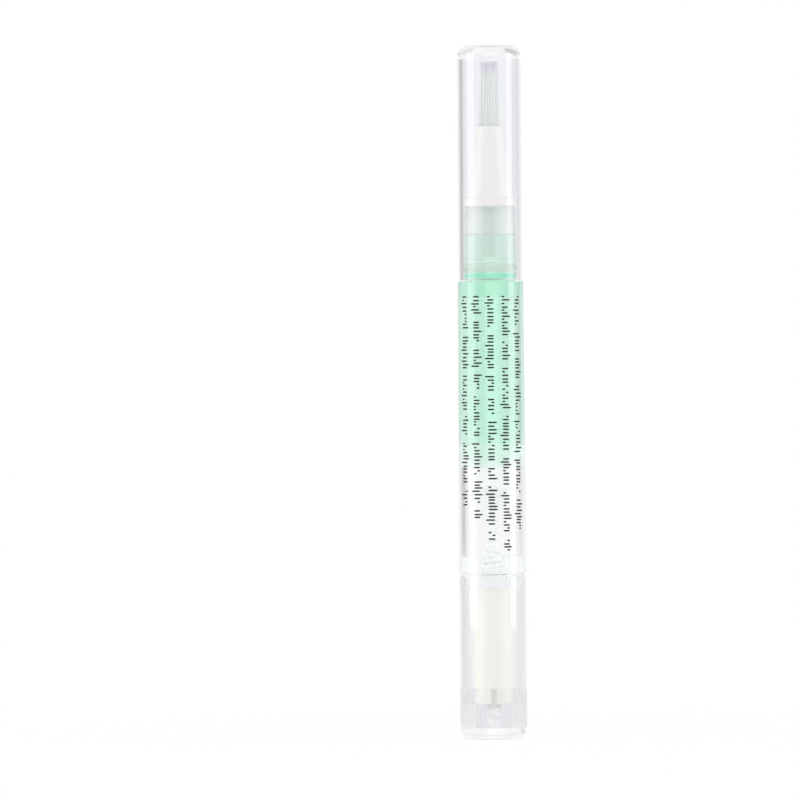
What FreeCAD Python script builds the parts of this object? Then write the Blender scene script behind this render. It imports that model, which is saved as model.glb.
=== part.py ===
import FreeCAD, Part
import math
import os
from FreeCAD import Vector

# Nail oil pen, in millimetres. The origin is the centre of the tail's flat end, and +Z runs
# along the pen's axis to the cap.

# Lengths of the three stretches that show: knob, barrel, cap
overall_length = 130.0
knob_length = 30.7
cap_length = 44.4

# Fits
press_grip = 0.02  # a pressed-in piece is this much larger than its hole, on the radius
running_gap = 0.06  # round a shaft, and round the nut's skirt in the knob
piston_gap = 0.05  # between the piston's lips and the barrel
thread_gap = 0.12  # between the screw's thread and the nut's
seam_gap = 0.1  # between faces that turn against or lift off each other
snap_gap = 0.15  # round the nut's snap bead in the knob's groove
oil_gap = 0.02  # between the oil and what holds it
loose_gap = 0.05  # between pieces that are slid together and stay put
overrun = 1.0  # how far a cutting tool passes the face that it cuts

# Cap
cap_radius = 5.95
cap_wall = 0.87
cap_draft = 0.13
cap_end_wall = 2.2
cap_crown = 0.45
cap_edge_round = 1.9
cap_bore_round = 0.6
cap_mouth_round = 0.2

# Barrel
barrel_foot_radius = 6.31
barrel_top_radius = 6.13
barrel_edge_round = 0.12
barrel_mouth_chamfer = 0.3
reservoir_radius = 5.0
socket_step = 0.2
collar_plug_length = 3.0
nut_ring_height = 3.45

# Collar
neck_radius = 4.85
neck_length = 14.0
neck_bore_radius = 3.65
neck_edge_round = 0.4
seal_groove_start = 1.8
seal_groove_width = 1.4
seal_groove_depth = 0.4
seal_proud = 0.17
seal_round = 0.25
neck_bead_start = 3.4
neck_bead_width = 0.9
neck_bead_height = 0.15

# Brush ferrule
ferrule_spigot_radius = 3.05
ferrule_spigot_length = 5.1
ferrule_flange_thickness = 1.5
ferrule_flange_round = 0.25
ferrule_foot_radius = 4.0
ferrule_tip_radius = 2.5
ferrule_sleeve_length = 13.6
ferrule_flare_round = 0.7
ferrule_lip = 0.35
ferrule_lip_round = 0.12

# Brush and feed tube
brush_tip_gap = 0.9  # under the end of the cap's bore
brush_held_length = 9.2
brush_tip_radius = 1.85
brush_tip_round = 0.8
brush_gap = 0.03
bristle_root_height = 2.0
tube_radius = 0.95
tube_bore_radius = 0.55
tube_below_neck_top = 9.4
tube_past_ferrule = 3.3

# Piston, at the height where a nearly full pen has it
piston_above_nut = 9.65
piston_length = 11.2
piston_lip_height = 1.5
piston_waist_depth = 0.35
piston_lip_round = 0.2
piston_rim_wall = 0.55
piston_cup_depth = 4.1
piston_cup_floor_radius = 3.5
piston_cup_round = 0.9
piston_foot_wall = 0.8
piston_hollow_depth = 2.8
piston_hub_radius = 2.4

# Lead screw, flattened on two sides so that the knob can turn it
screw_radius = 1.75
screw_across_flats = 2.4
screw_lead = 2.0
thread_depth = 0.45
thread_foot_width = 1.1
thread_crest_width = 0.5
screw_tail_above_disc = 0.9
screw_pilot_length = 0.8
screw_pilot_round = 0.3
screw_shoulder_gap = 0.35
screw_neck_radius = 1.05
screw_neck_length = 1.7
screw_head_radius = 1.5
screw_head_height = 1.9
screw_head_chamfer = 0.5

# Nut insert, with the ratchet's teeth inside its skirt
nut_web = 2.9
nut_skirt_length = 2.3
nut_skirt_round = 0.15
nut_bead_width = 0.7
nut_bead_height = 0.26
nut_bead_above_end = 0.55
nut_bead_chamfer = 0.15
ratchet_teeth = 12
ratchet_root_radius = 4.6
ratchet_depth = 0.33

# Knob shell
knob_radius = 6.27
knob_wall = 0.97
knob_edge_round = 0.15

# Tail plug
plug_radius = 6.15
plug_disc_thickness = 2.3
plug_edge_round = 1.75
plug_rim_round = 0.1
plug_bore_radius = 2.6
plug_seat_height = 4.4
plug_skirt_height = 7.2
plug_skirt_wall = 0.94
plug_skirt_round = 0.2

# Drive sleeve
sleeve_radius = 3.55
sleeve_bore_radius = 2.2
sleeve_top_gap = 0.3
sleeve_head_length = 1.9
sleeve_head_radius = 2.8
sleeve_head_across_flats = 4.8
sleeve_drive_length = 4.4
sleeve_slots = 4
sleeve_slot_width = 1.0
sleeve_slot_depth = 0.5
sleeve_slot_height = 2.6

# Click ring
click_ring_height = 1.6
pawls = 2
pawl_arm_gap = 0.3
pawl_arm_thickness = 0.35
pawl_reach = 0.22
pawl_arm_degrees = 92.0
pawl_web_degrees = 9.0
pawl_ramp_degrees = 24.0
pawl_rest_degrees = 0.8

# Heights that several pieces share
barrel_foot = knob_length
barrel_top = overall_length - cap_length
neck_top = barrel_top + neck_length
oil_top = neck_top - ferrule_spigot_length
ferrule_flange_top = neck_top + ferrule_flange_thickness
ferrule_tip = ferrule_flange_top + ferrule_sleeve_length
cap_bore_end = overall_length - cap_end_wall
brush_tip = cap_bore_end - brush_tip_gap
collar_seat = barrel_top - collar_plug_length
nut_top = barrel_foot + nut_ring_height
nut_web_foot = nut_top - nut_web
nut_skirt_end = barrel_foot - nut_skirt_length
piston_foot = nut_top + piston_above_nut
piston_rim = piston_foot + piston_length
sleeve_seat = plug_disc_thickness + plug_seat_height
sleeve_top = barrel_foot - sleeve_top_gap
sleeve_shoulder = sleeve_top - sleeve_head_length

# Radii that several pieces share
socket_radius = reservoir_radius + socket_step
seal_groove_radius = neck_radius - seal_groove_depth
brush_radius = ferrule_tip_radius - ferrule_lip - brush_gap
thread_root_radius = screw_radius - thread_depth
screw_socket_radius = screw_head_radius + loose_gap
knob_bore_radius = knob_radius - knob_wall
pawl_arm_radius = sleeve_radius + pawl_arm_gap + pawl_arm_thickness

axis = Vector(0, 0, 1)
least_share = 1e-6
least = least_share * overall_length  # nearer than this, two points count as one
flank_points = 5  # that a thread's flank is drawn through


# A solid turned about the axis. Each corner is (radius, height) or (radius, height, rounding).
def turned(corners):
    points = [Vector(corner[0], 0, corner[1]) for corner in corners]
    stretches = []
    for i, corner in enumerate(corners):
        here = points[i]
        if len(corner) < 3:
            stretches.append((here, None, here))
            continue
        rounding = corner[2]
        back = (points[i - 1] - here).normalize()
        on = (points[(i + 1) % len(points)] - here).normalize()
        half = back.getAngle(on) / 2
        inward = (back + on).normalize()
        reach = rounding / math.tan(half)
        nearest = here + inward * (rounding / math.sin(half) - rounding)
        stretches.append((here + back * reach, nearest, here + on * reach))
    edges = []
    for i, (start, through, end) in enumerate(stretches):
        if through:
            edges.append(Part.Arc(start, through, end).toShape())
        following = stretches[(i + 1) % len(stretches)][0]
        if (following - end).Length > least:
            edges.append(Part.makeLine(end, following))
    return Part.Face(Part.Wire(edges)).revolve(Vector(0, 0, 0), axis, 360)


# A point on a circle about the axis.
def around(radius, degrees, height):
    angle = math.radians(degrees)
    return Vector(radius * math.cos(angle), radius * math.sin(angle), height)


# An arc about the axis, from one angle to another, that may wind in or out as it goes.
def winding(start_radius, start_degrees, end_radius, end_degrees, height):
    middle = around((start_radius + end_radius) / 2, (start_degrees + end_degrees) / 2, height)
    start = around(start_radius, start_degrees, height)
    return Part.Arc(start, middle, around(end_radius, end_degrees, height)).toShape()


# A closed outline raised into a solid.
def raised(edges, height):
    return Part.Face(Part.Wire(edges)).extrude(axis * height)


# A piece of a ring between two radii and two angles.
def sector(inner, outer, start_degrees, end_degrees, foot, height):
    edges = [
        winding(inner, start_degrees, inner, end_degrees, foot),
        Part.makeLine(around(inner, end_degrees, foot), around(outer, end_degrees, foot)),
        winding(outer, end_degrees, outer, start_degrees, foot),
        Part.makeLine(around(outer, start_degrees, foot), around(inner, start_degrees, foot)),
    ]
    return raised(edges, height)


# A round bar with two flats, square to X.
def flatted_bar(radius, across_flats, foot, top):
    bar = Part.makeCylinder(radius, top - foot, Vector(0, 0, foot))
    corner = Vector(-across_flats / 2, -radius, foot)
    return bar.common(Part.makeBox(across_flats, radius * 2, top - foot, corner))


# A threaded bar: its cross-section, a disc with one raised side, twisted one turn to each lead.
# The middle of the crest is on +X at height 0, so any two bars of one lead are in step.
def threaded_bar(root, crest, foot_width, crest_width, foot, top):
    phase = 360 * foot / screw_lead
    half_crest = 180 * crest_width / screw_lead
    half_foot = 180 * foot_width / screw_lead

    def flank(start_radius, start_degrees, end_radius, end_degrees):
        points = []
        for i in range(flank_points):
            share = i / (flank_points - 1)
            radius = start_radius + (end_radius - start_radius) * share
            degrees = start_degrees + (end_degrees - start_degrees) * share
            points.append(around(radius, degrees, foot))
        curve = Part.BSplineCurve()
        curve.interpolate(points)
        return curve.toShape()

    section = Part.Wire([
        winding(crest, phase - half_crest, crest, phase + half_crest, foot),
        flank(crest, phase + half_crest, root, phase + half_foot),
        winding(root, phase + half_foot, root, phase + 360 - half_foot, foot),
        flank(root, phase + 360 - half_foot, crest, phase + 360 - half_crest),
    ])
    spine = Part.Wire([Part.makeLine(Vector(0, 0, foot), Vector(0, 0, top))])
    guide = Part.Wire(Part.makeHelix(screw_lead, top - foot, crest + overrun).Edges)
    guide.rotate(Vector(0, 0, 0), axis, phase)
    guide.translate(Vector(0, 0, foot))
    sweep = Part.BRepOffsetAPI.MakePipeShell(spine)
    sweep.setAuxiliarySpine(guide, True, 0)
    sweep.add(section)
    sweep.build()
    sweep.makeSolid()
    return sweep.shape()


def make_cap():
    mouth = barrel_top + seam_gap / 2
    mouth_radius = cap_radius - cap_wall
    blank = turned([
        (0, cap_bore_end),
        (mouth_radius - cap_draft, cap_bore_end, cap_bore_round),
        (mouth_radius, mouth, cap_mouth_round),
        (cap_radius, mouth, cap_mouth_round),
        (cap_radius, overall_length),
        (0, overall_length),
    ])
    crown_radius = (cap_radius**2 + cap_crown**2) / (2 * cap_crown)
    crown = Part.makeSphere(crown_radius, Vector(0, 0, overall_length - crown_radius))
    domed = blank.common(crown)
    shoulder = overall_length - cap_crown
    round_edges = [edge for edge in domed.Edges if edge.isClosed() and not edge.Degenerated]
    rim = [edge for edge in round_edges if abs(edge.CenterOfMass.z - shoulder) < least]
    return domed.makeFillet(cap_edge_round, rim)


def make_barrel():
    return turned([
        (socket_radius + barrel_mouth_chamfer, barrel_foot),
        (barrel_foot_radius, barrel_foot, barrel_edge_round),
        (barrel_top_radius, barrel_top, barrel_edge_round),
        (socket_radius, barrel_top),
        (socket_radius, collar_seat),
        (reservoir_radius, collar_seat),
        (reservoir_radius, nut_top),
        (socket_radius, nut_top),
        (socket_radius, barrel_foot + barrel_mouth_chamfer),
    ])


def make_collar():
    groove_foot = barrel_top + seal_groove_start
    groove_top = groove_foot + seal_groove_width
    bead_foot = barrel_top + neck_bead_start
    bead_top = bead_foot + neck_bead_width
    bead_radius = neck_radius + neck_bead_height
    return turned([
        (neck_bore_radius, collar_seat),
        (socket_radius + press_grip, collar_seat),
        (socket_radius + press_grip, barrel_top),
        (neck_radius, barrel_top),
        (neck_radius, groove_foot),
        (seal_groove_radius, groove_foot),
        (seal_groove_radius, groove_top),
        (neck_radius, groove_top),
        (neck_radius, bead_foot),
        (bead_radius, bead_foot + neck_bead_height),
        (bead_radius, bead_top - neck_bead_height),
        (neck_radius, bead_top),
        (neck_radius, neck_top, neck_edge_round),
        (ferrule_spigot_radius, neck_top),
        (ferrule_spigot_radius, oil_top),
        (neck_bore_radius, oil_top),
    ])


def make_cap_seal_ring():
    foot = barrel_top + seal_groove_start + loose_gap
    top = barrel_top + seal_groove_start + seal_groove_width - loose_gap
    return turned([
        (seal_groove_radius - press_grip, foot),
        (neck_radius + seal_proud, foot, seal_round),
        (neck_radius + seal_proud, top, seal_round),
        (seal_groove_radius - press_grip, top),
    ])


def make_brush_ferrule():
    tube_hole = tube_radius + brush_gap
    tuft_hole = brush_radius + brush_gap
    tuft_seat = ferrule_tip - brush_held_length - bristle_root_height
    return turned([
        (tube_hole, oil_top),
        (ferrule_spigot_radius + press_grip, oil_top),
        (ferrule_spigot_radius + press_grip, neck_top),
        (neck_radius, neck_top, ferrule_flange_round),
        (neck_radius, ferrule_flange_top, ferrule_flange_round),
        (ferrule_foot_radius, ferrule_flange_top, ferrule_flare_round),
        (ferrule_tip_radius, ferrule_tip, ferrule_lip_round),
        (tuft_hole, ferrule_tip),
        (tuft_hole, tuft_seat),
        (tube_hole, tuft_seat),
    ])


def make_bristle_root():
    top = ferrule_tip - brush_held_length
    tube_hole = tube_radius + brush_gap
    return turned([
        (tube_hole, top - bristle_root_height),
        (brush_radius, top - bristle_root_height),
        (brush_radius, top),
        (tube_hole, top),
    ])


def make_brush():
    foot = ferrule_tip - brush_held_length
    tube_hole = tube_radius + brush_gap
    tube_end = ferrule_tip + tube_past_ferrule + brush_gap
    return turned([
        (tube_hole, foot),
        (brush_radius, foot),
        (brush_radius, ferrule_tip),
        (brush_tip_radius, brush_tip, brush_tip_round),
        (0, brush_tip),
        (0, tube_end),
        (tube_hole, tube_end),
    ])


def make_feed_tube():
    foot = neck_top - tube_below_neck_top
    top = ferrule_tip + tube_past_ferrule
    return turned([
        (tube_bore_radius, foot),
        (tube_radius, foot),
        (tube_radius, top),
        (tube_bore_radius, top),
    ])


def make_oil():
    rim_radius = reservoir_radius - piston_gap - piston_rim_wall
    floor = piston_rim - piston_cup_depth + oil_gap
    tube_hole = tube_radius + oil_gap
    tube_foot = neck_top - tube_below_neck_top - oil_gap
    return turned([
        (0, floor),
        (piston_cup_floor_radius - oil_gap, floor, piston_cup_round),
        (rim_radius - oil_gap, piston_rim + oil_gap),
        (reservoir_radius - oil_gap, piston_rim + oil_gap),
        (reservoir_radius - oil_gap, collar_seat - oil_gap),
        (neck_bore_radius - oil_gap, collar_seat - oil_gap),
        (neck_bore_radius - oil_gap, oil_top - oil_gap),
        (tube_hole, oil_top - oil_gap),
        (tube_hole, tube_foot),
        (0, tube_foot),
    ])


def make_piston():
    lip = reservoir_radius - piston_gap
    waist = lip - piston_waist_depth
    foot_land = piston_foot + piston_lip_height
    rim_land = piston_rim - piston_lip_height
    cup_floor = piston_rim - piston_cup_depth
    hollow_top = piston_foot + piston_hollow_depth
    hollow_radius = waist - piston_foot_wall
    neck_hole = screw_neck_radius + loose_gap
    socket_foot = piston_foot + screw_neck_length - screw_shoulder_gap - loose_gap
    socket_top = socket_foot + screw_head_height + loose_gap * 2
    return turned([
        (0, socket_top),
        (screw_socket_radius, socket_top),
        (screw_socket_radius, socket_foot),
        (neck_hole, socket_foot),
        (neck_hole, piston_foot),
        (piston_hub_radius, piston_foot),
        (piston_hub_radius, hollow_top),
        (hollow_radius, hollow_top),
        (hollow_radius, piston_foot),
        (lip, piston_foot, piston_lip_round),
        (lip, foot_land),
        (waist, foot_land + piston_waist_depth),
        (waist, rim_land - piston_waist_depth),
        (lip, rim_land),
        (lip, piston_rim),
        (lip - piston_rim_wall, piston_rim),
        (piston_cup_floor_radius, cup_floor, piston_cup_round),
        (0, cup_floor),
    ])


# A threaded bar with two flats, some whole turns long. One turn is made and flattened, and
# copies of its sides are stacked and sewn between its two ends.
def flatted_thread(foot, turns):
    turn = threaded_bar(
        thread_root_radius,
        screw_radius,
        thread_foot_width,
        thread_crest_width,
        foot,
        foot + screw_lead,
    )
    corner = Vector(-screw_across_flats / 2, -screw_radius, foot)
    turn = turn.common(Part.makeBox(screw_across_flats, screw_radius * 2, screw_lead, corner))
    faces = []
    for face in turn.Faces:
        if abs(face.CenterOfMass.z - foot) < least:
            faces.append(face)
        elif abs(face.CenterOfMass.z - foot - screw_lead) < least:
            faces.append(face.translated(axis * screw_lead * (turns - 1)))
        else:
            faces += [face.translated(axis * screw_lead * i) for i in range(turns)]
    skin = Part.makeCompound(faces)
    skin.sewShape(least)
    return Part.Solid(skin.Shells[0])


def make_lead_screw():
    tail = plug_disc_thickness + screw_tail_above_disc
    shoulder = piston_foot - screw_shoulder_gap
    head_foot = shoulder + screw_neck_length
    head_top = head_foot + screw_head_height
    thread_start = tail + screw_pilot_length
    turns = int((shoulder - thread_start) / screw_lead)
    thread_end = thread_start + turns * screw_lead
    ends = turned([
        (0, tail),
        (thread_root_radius, tail, screw_pilot_round),
        (thread_root_radius, thread_start),
        (0, thread_start),
    ]).fuse(Part.makeCylinder(thread_root_radius, shoulder - thread_end, Vector(0, 0, thread_end)))
    corner = Vector(-screw_across_flats / 2, -screw_radius, tail)
    ends = ends.common(Part.makeBox(screw_across_flats, screw_radius * 2, shoulder - tail, corner))
    head = turned([
        (0, shoulder),
        (screw_neck_radius, shoulder),
        (screw_neck_radius, head_foot),
        (screw_head_radius, head_foot),
        (screw_head_radius, head_top - screw_head_chamfer),
        (screw_head_radius - screw_head_chamfer, head_top),
        (0, head_top),
    ])
    return flatted_thread(thread_start, turns).fuse(ends).fuse(head)


def make_nut_insert():
    skirt_radius = knob_bore_radius - running_gap
    bead_radius = skirt_radius + nut_bead_height
    bead_foot = nut_skirt_end + nut_bead_above_end
    bead_top = bead_foot + nut_bead_width
    blank = turned([
        (0, nut_skirt_end),
        (skirt_radius, nut_skirt_end, nut_skirt_round),
        (skirt_radius, bead_foot),
        (bead_radius, bead_foot + nut_bead_chamfer),
        (bead_radius, bead_top - nut_bead_chamfer),
        (skirt_radius, bead_top),
        (skirt_radius, barrel_foot),
        (socket_radius + press_grip, barrel_foot),
        (socket_radius + press_grip, nut_top),
        (0, nut_top),
    ])
    tap = threaded_bar(
        thread_root_radius + thread_gap,
        screw_radius + thread_gap,
        thread_foot_width + thread_gap * 2,
        thread_crest_width + thread_gap * 2,
        nut_web_foot - overrun,
        nut_top + overrun,
    )
    # the cavity's wall is a ring of saw teeth, each a ramp that ends in a radial step
    pitch = 360 / ratchet_teeth
    tip_radius = ratchet_root_radius - ratchet_depth
    low = nut_skirt_end - overrun
    edges = []
    for i in range(ratchet_teeth):
        end = (i + 1) * pitch
        edges.append(winding(ratchet_root_radius, i * pitch, tip_radius, end, low))
        edges.append(Part.makeLine(around(tip_radius, end, low), around(ratchet_root_radius, end, low)))
    cavity = raised(edges, nut_web_foot - low)
    return blank.cut(tap).cut(cavity)


def make_knob_shell():
    top = barrel_foot - seam_gap
    groove_foot = nut_skirt_end + nut_bead_above_end - snap_gap
    groove_top = nut_skirt_end + nut_bead_above_end + nut_bead_width + snap_gap
    groove_radius = knob_bore_radius - running_gap + nut_bead_height + snap_gap
    return turned([
        (knob_bore_radius, plug_disc_thickness),
        (knob_radius, plug_disc_thickness, knob_edge_round),
        (knob_radius, top, knob_edge_round),
        (knob_bore_radius, top),
        (knob_bore_radius, groove_top),
        (groove_radius, groove_top),
        (groove_radius, groove_foot),
        (knob_bore_radius, groove_foot),
    ])


def make_tail_plug():
    skirt_radius = knob_bore_radius + press_grip
    skirt_bore = skirt_radius - plug_skirt_wall
    skirt_top = plug_disc_thickness + plug_skirt_height
    body = turned([
        (0, 0),
        (plug_radius, 0, plug_edge_round),
        (plug_radius, plug_disc_thickness, plug_rim_round),
        (skirt_radius, plug_disc_thickness),
        (skirt_radius, skirt_top, plug_skirt_round),
        (skirt_bore, skirt_top),
        (skirt_bore, sleeve_seat),
        (plug_bore_radius, sleeve_seat),
        (plug_bore_radius, plug_disc_thickness),
        (0, plug_disc_thickness),
    ])
    # ribs that hold the sleeve's foot from turning
    width = sleeve_slot_width - loose_gap * 2
    inner = sleeve_radius - sleeve_slot_depth + loose_gap
    height = sleeve_slot_height - loose_gap
    rib_length = skirt_bore + plug_skirt_wall / 2 - inner
    for i in range(sleeve_slots):
        rib = Part.makeBox(rib_length, width, height, Vector(inner, -width / 2, sleeve_seat))
        rib.rotate(Vector(0, 0, 0), axis, 360 * i / sleeve_slots)
        body = body.fuse(rib)
    return body


def make_drive_sleeve():
    drive_foot = sleeve_top - sleeve_drive_length
    body = Part.makeCylinder(sleeve_radius, sleeve_shoulder - sleeve_seat, Vector(0, 0, sleeve_seat))
    head = flatted_bar(sleeve_head_radius, sleeve_head_across_flats, sleeve_shoulder, sleeve_top)
    bore_foot = sleeve_seat - overrun
    bore = Part.makeCylinder(sleeve_bore_radius, drive_foot - bore_foot, Vector(0, 0, bore_foot))
    drive = flatted_bar(
        screw_radius + running_gap,
        screw_across_flats + running_gap * 2,
        drive_foot - overrun,
        sleeve_top + overrun,
    )
    sleeve = body.fuse(head).cut(bore).cut(drive)
    low = sleeve_seat - overrun
    for i in range(sleeve_slots):
        slot = Part.makeBox(
            sleeve_slot_depth + overrun,
            sleeve_slot_width,
            sleeve_slot_height + overrun,
            Vector(sleeve_radius - sleeve_slot_depth, -sleeve_slot_width / 2, low),
        )
        slot.rotate(Vector(0, 0, 0), axis, 360 * i / sleeve_slots)
        sleeve = sleeve.cut(slot)
    return sleeve


def make_click_ring():
    foot = sleeve_shoulder + loose_gap
    ring = Part.makeCylinder(sleeve_radius, click_ring_height, Vector(0, 0, foot))
    arm_bore = pawl_arm_radius - pawl_arm_thickness
    pitch = 360 / ratchet_teeth
    for i in range(pawls):
        # the tip stands just past a tooth's step, and the arm runs on from it to the web
        tip = pitch + pawl_rest_degrees + 360 * i / pawls
        root = tip + pawl_arm_degrees
        arm = sector(arm_bore, pawl_arm_radius, tip, root, foot, click_ring_height)
        web = sector(
            sleeve_radius - pawl_arm_thickness,
            pawl_arm_radius,
            root - pawl_web_degrees,
            root,
            foot,
            click_ring_height,
        )
        middle = (arm_bore + pawl_arm_radius) / 2
        pawl_radius = pawl_arm_radius + pawl_reach
        ramp_end = tip + pawl_ramp_degrees
        pawl = raised([
            Part.makeLine(around(middle, tip, foot), around(pawl_radius, tip, foot)),
            winding(pawl_radius, tip, middle, ramp_end, foot),
            winding(middle, ramp_end, middle, tip, foot),
        ], click_ring_height)
        ring = ring.fuse(arm).fuse(web).fuse(pawl)
    hole = flatted_bar(
        sleeve_head_radius + loose_gap,
        sleeve_head_across_flats + loose_gap * 2,
        foot - overrun,
        foot + click_ring_height + overrun,
    )
    return ring.cut(hole)


pieces = {
    "cap": make_cap(),
    "barrel": make_barrel(),
    "collar": make_collar(),
    "cap_seal_ring": make_cap_seal_ring(),
    "brush_ferrule": make_brush_ferrule(),
    "bristle_root": make_bristle_root(),
    "brush": make_brush(),
    "feed_tube": make_feed_tube(),
    "oil": make_oil(),
    "piston": make_piston(),
    "lead_screw": make_lead_screw(),
    "nut_insert": make_nut_insert(),
    "click_ring": make_click_ring(),
    "drive_sleeve": make_drive_sleeve(),
    "knob_shell": make_knob_shell(),
    "tail_plug": make_tail_plug(),
}

os.makedirs("parts", exist_ok=True)
for name, shape in pieces.items():
    shape.exportStep(f"parts/{name}.step")
    print(f"{name}: {len(shape.Solids)} solid, {shape.Volume:.1f} mm3, valid {shape.isValid()}")
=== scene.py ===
import math
import random

import bmesh
import bpy
from mathutils import Matrix, Vector


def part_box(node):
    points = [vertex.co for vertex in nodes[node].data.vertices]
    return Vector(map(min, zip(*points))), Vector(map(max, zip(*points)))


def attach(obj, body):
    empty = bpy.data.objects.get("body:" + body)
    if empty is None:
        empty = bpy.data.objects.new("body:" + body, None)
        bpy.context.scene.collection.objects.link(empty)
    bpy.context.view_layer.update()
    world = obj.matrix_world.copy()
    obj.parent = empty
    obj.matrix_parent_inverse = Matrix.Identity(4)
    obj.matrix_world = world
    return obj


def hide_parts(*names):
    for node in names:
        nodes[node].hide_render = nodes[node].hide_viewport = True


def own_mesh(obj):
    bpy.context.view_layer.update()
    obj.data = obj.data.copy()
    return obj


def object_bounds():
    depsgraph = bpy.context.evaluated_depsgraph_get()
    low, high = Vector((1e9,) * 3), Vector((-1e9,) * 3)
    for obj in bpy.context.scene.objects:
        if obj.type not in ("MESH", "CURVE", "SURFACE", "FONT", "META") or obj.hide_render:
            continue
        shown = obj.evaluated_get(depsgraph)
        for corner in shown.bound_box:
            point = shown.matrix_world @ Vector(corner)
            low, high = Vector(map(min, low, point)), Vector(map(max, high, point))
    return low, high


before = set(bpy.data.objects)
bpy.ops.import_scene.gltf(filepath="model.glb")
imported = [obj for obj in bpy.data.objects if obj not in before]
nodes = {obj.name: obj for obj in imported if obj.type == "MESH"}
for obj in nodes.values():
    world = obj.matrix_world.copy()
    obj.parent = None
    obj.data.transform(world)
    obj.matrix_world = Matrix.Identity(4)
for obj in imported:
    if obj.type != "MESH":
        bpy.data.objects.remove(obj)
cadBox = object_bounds()
scene = bpy.context.scene
random.seed(7)

mm = 0.001  # lengths in the dictionaries are in millimetres, radii from the pen's axis
spinSteps, boreSteps = 144, 72  # flats round a piece, and round a bore that is cut out
roundingSteps = 7
sharpDegrees = 34  # an edge that bends more than this is shaded as a sharp one
cutPast = 1.0  # a shape that is cut away reaches this far past the piece, in millimetres
lightSteps = 4  # light that a clear wall throws back more often than this goes straight out
markRoughness = 0.12  # how much duller a handling mark is than what is round it
bumpDepth = 0.05  # height of the moulded waves, in millimetres


# helpers
def span(node):  # outer radius, foot and top of a CAD node, in millimetres
    low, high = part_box(node)
    return high.x / mm, low.z / mm, high.z / mm


def shade(red, green, blue):  # a colour as a picture editor gives it, 0 to 255
    linear = []
    for value in (red, green, blue):
        part = value / 255
        linear.append(part / 12.92 if part <= 0.04045 else ((part + 0.055) / 1.055) ** 2.4)
    return (*linear, 1.0)


def shadeSmooth(mesh, sharpFrom=sharpDegrees):
    for face in mesh.polygons:
        face.use_smooth = True
    mesh.set_sharp_from_angle(angle=math.radians(sharpFrom))


def finishMesh(name, bm, body, sharpFrom=sharpDegrees):
    bmesh.ops.remove_doubles(bm, verts=bm.verts, dist=0.0001 * mm)
    bmesh.ops.dissolve_degenerate(bm, edges=bm.edges, dist=0.00001 * mm)
    bmesh.ops.recalc_face_normals(bm, faces=bm.faces)
    mesh = bpy.data.meshes.new(name)
    bm.to_mesh(mesh)
    bm.free()
    shadeSmooth(mesh, sharpFrom)
    piece = bpy.data.objects.new(name, mesh)
    scene.collection.objects.link(piece)
    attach(piece, body)
    return piece


# corners are (radius, height) or (radius, height, rounding)
def spunShape(corners, steps=spinSteps):
    bm = bmesh.new()
    verts = [bm.verts.new((corner[0] * mm, 0, corner[1] * mm)) for corner in corners]
    for first, second in zip(verts, verts[1:]):
        bm.edges.new((first, second))
    if corners[0][0] or corners[-1][0]:
        bm.edges.new((verts[-1], verts[0]))
    places = [vert.co.copy() for vert in verts]
    for i, corner in enumerate(corners):
        if len(corner) < 3:
            continue
        back = places[i - 1] - places[i]
        onward = places[(i + 1) % len(places)] - places[i]
        reach = corner[2] * mm / math.tan(back.angle(onward) / 2)
        bmesh.ops.bevel(
            bm, geom=[verts[i]], offset=reach, offset_type="OFFSET", segments=roundingSteps,
            profile=0.5, affect="VERTICES", material=-1)
    # a loop close to each end of a long run keeps the rounding's shading off the run
    guard, longRun = 0.12 * mm, 0.7 * mm
    for edge in [edge for edge in bm.edges if edge.calc_length() > longRun]:
        start = edge.verts[0]
        _, nearVert = bmesh.utils.edge_split(edge, start, guard / edge.calc_length())
        farEdge = next(link for link in nearVert.link_edges if start not in link.verts)
        bmesh.utils.edge_split(farEdge, nearVert, 1 - guard / farEdge.calc_length())
    bmesh.ops.spin(
        bm, geom=bm.verts[:] + bm.edges[:], cent=(0, 0, 0), axis=(0, 0, 1), dvec=(0, 0, 0),
        angle=math.tau, steps=steps, use_merge=True, use_duplicate=False)
    return bm


def spunPiece(name, corners, body, steps=spinSteps):
    return finishMesh(name, spunShape(corners, steps), body)


def block(low, high):
    bm = bmesh.new()
    bmesh.ops.create_cube(bm, size=1)
    size = Vector(high) - Vector(low)
    bmesh.ops.scale(bm, vec=size * mm, verts=bm.verts)
    bmesh.ops.translate(bm, vec=(Vector(low) + size / 2) * mm, verts=bm.verts)
    return bm


def combine(piece, tools, operation):  # each tool is a bmesh, cut from the piece or joined to it
    for tool in tools:
        bmesh.ops.recalc_face_normals(tool, faces=tool.faces)
        mesh = bpy.data.meshes.new("tool")
        tool.to_mesh(mesh)
        tool.free()
        helper = bpy.data.objects.new("tool", mesh)
        scene.collection.objects.link(helper)
        modifier = piece.modifiers.new("shape", "BOOLEAN")
        modifier.operation = operation
        modifier.solver = "EXACT"
        modifier.object = helper
        graph = bpy.context.evaluated_depsgraph_get()
        shaped = bpy.data.meshes.new_from_object(piece.evaluated_get(graph))
        piece.modifiers.clear()
        old = piece.data
        piece.data = shaped
        shaped.name = piece.name
        bpy.data.meshes.remove(old)
        bpy.data.objects.remove(helper)
        bpy.data.meshes.remove(mesh)
    bm = bmesh.new()
    bm.from_mesh(piece.data)
    bmesh.ops.remove_doubles(bm, verts=bm.verts, dist=0.0005 * mm)
    bmesh.ops.dissolve_degenerate(bm, edges=bm.edges, dist=0.0001 * mm)
    bm.to_mesh(piece.data)
    bm.free()
    shadeSmooth(piece.data)


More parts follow.
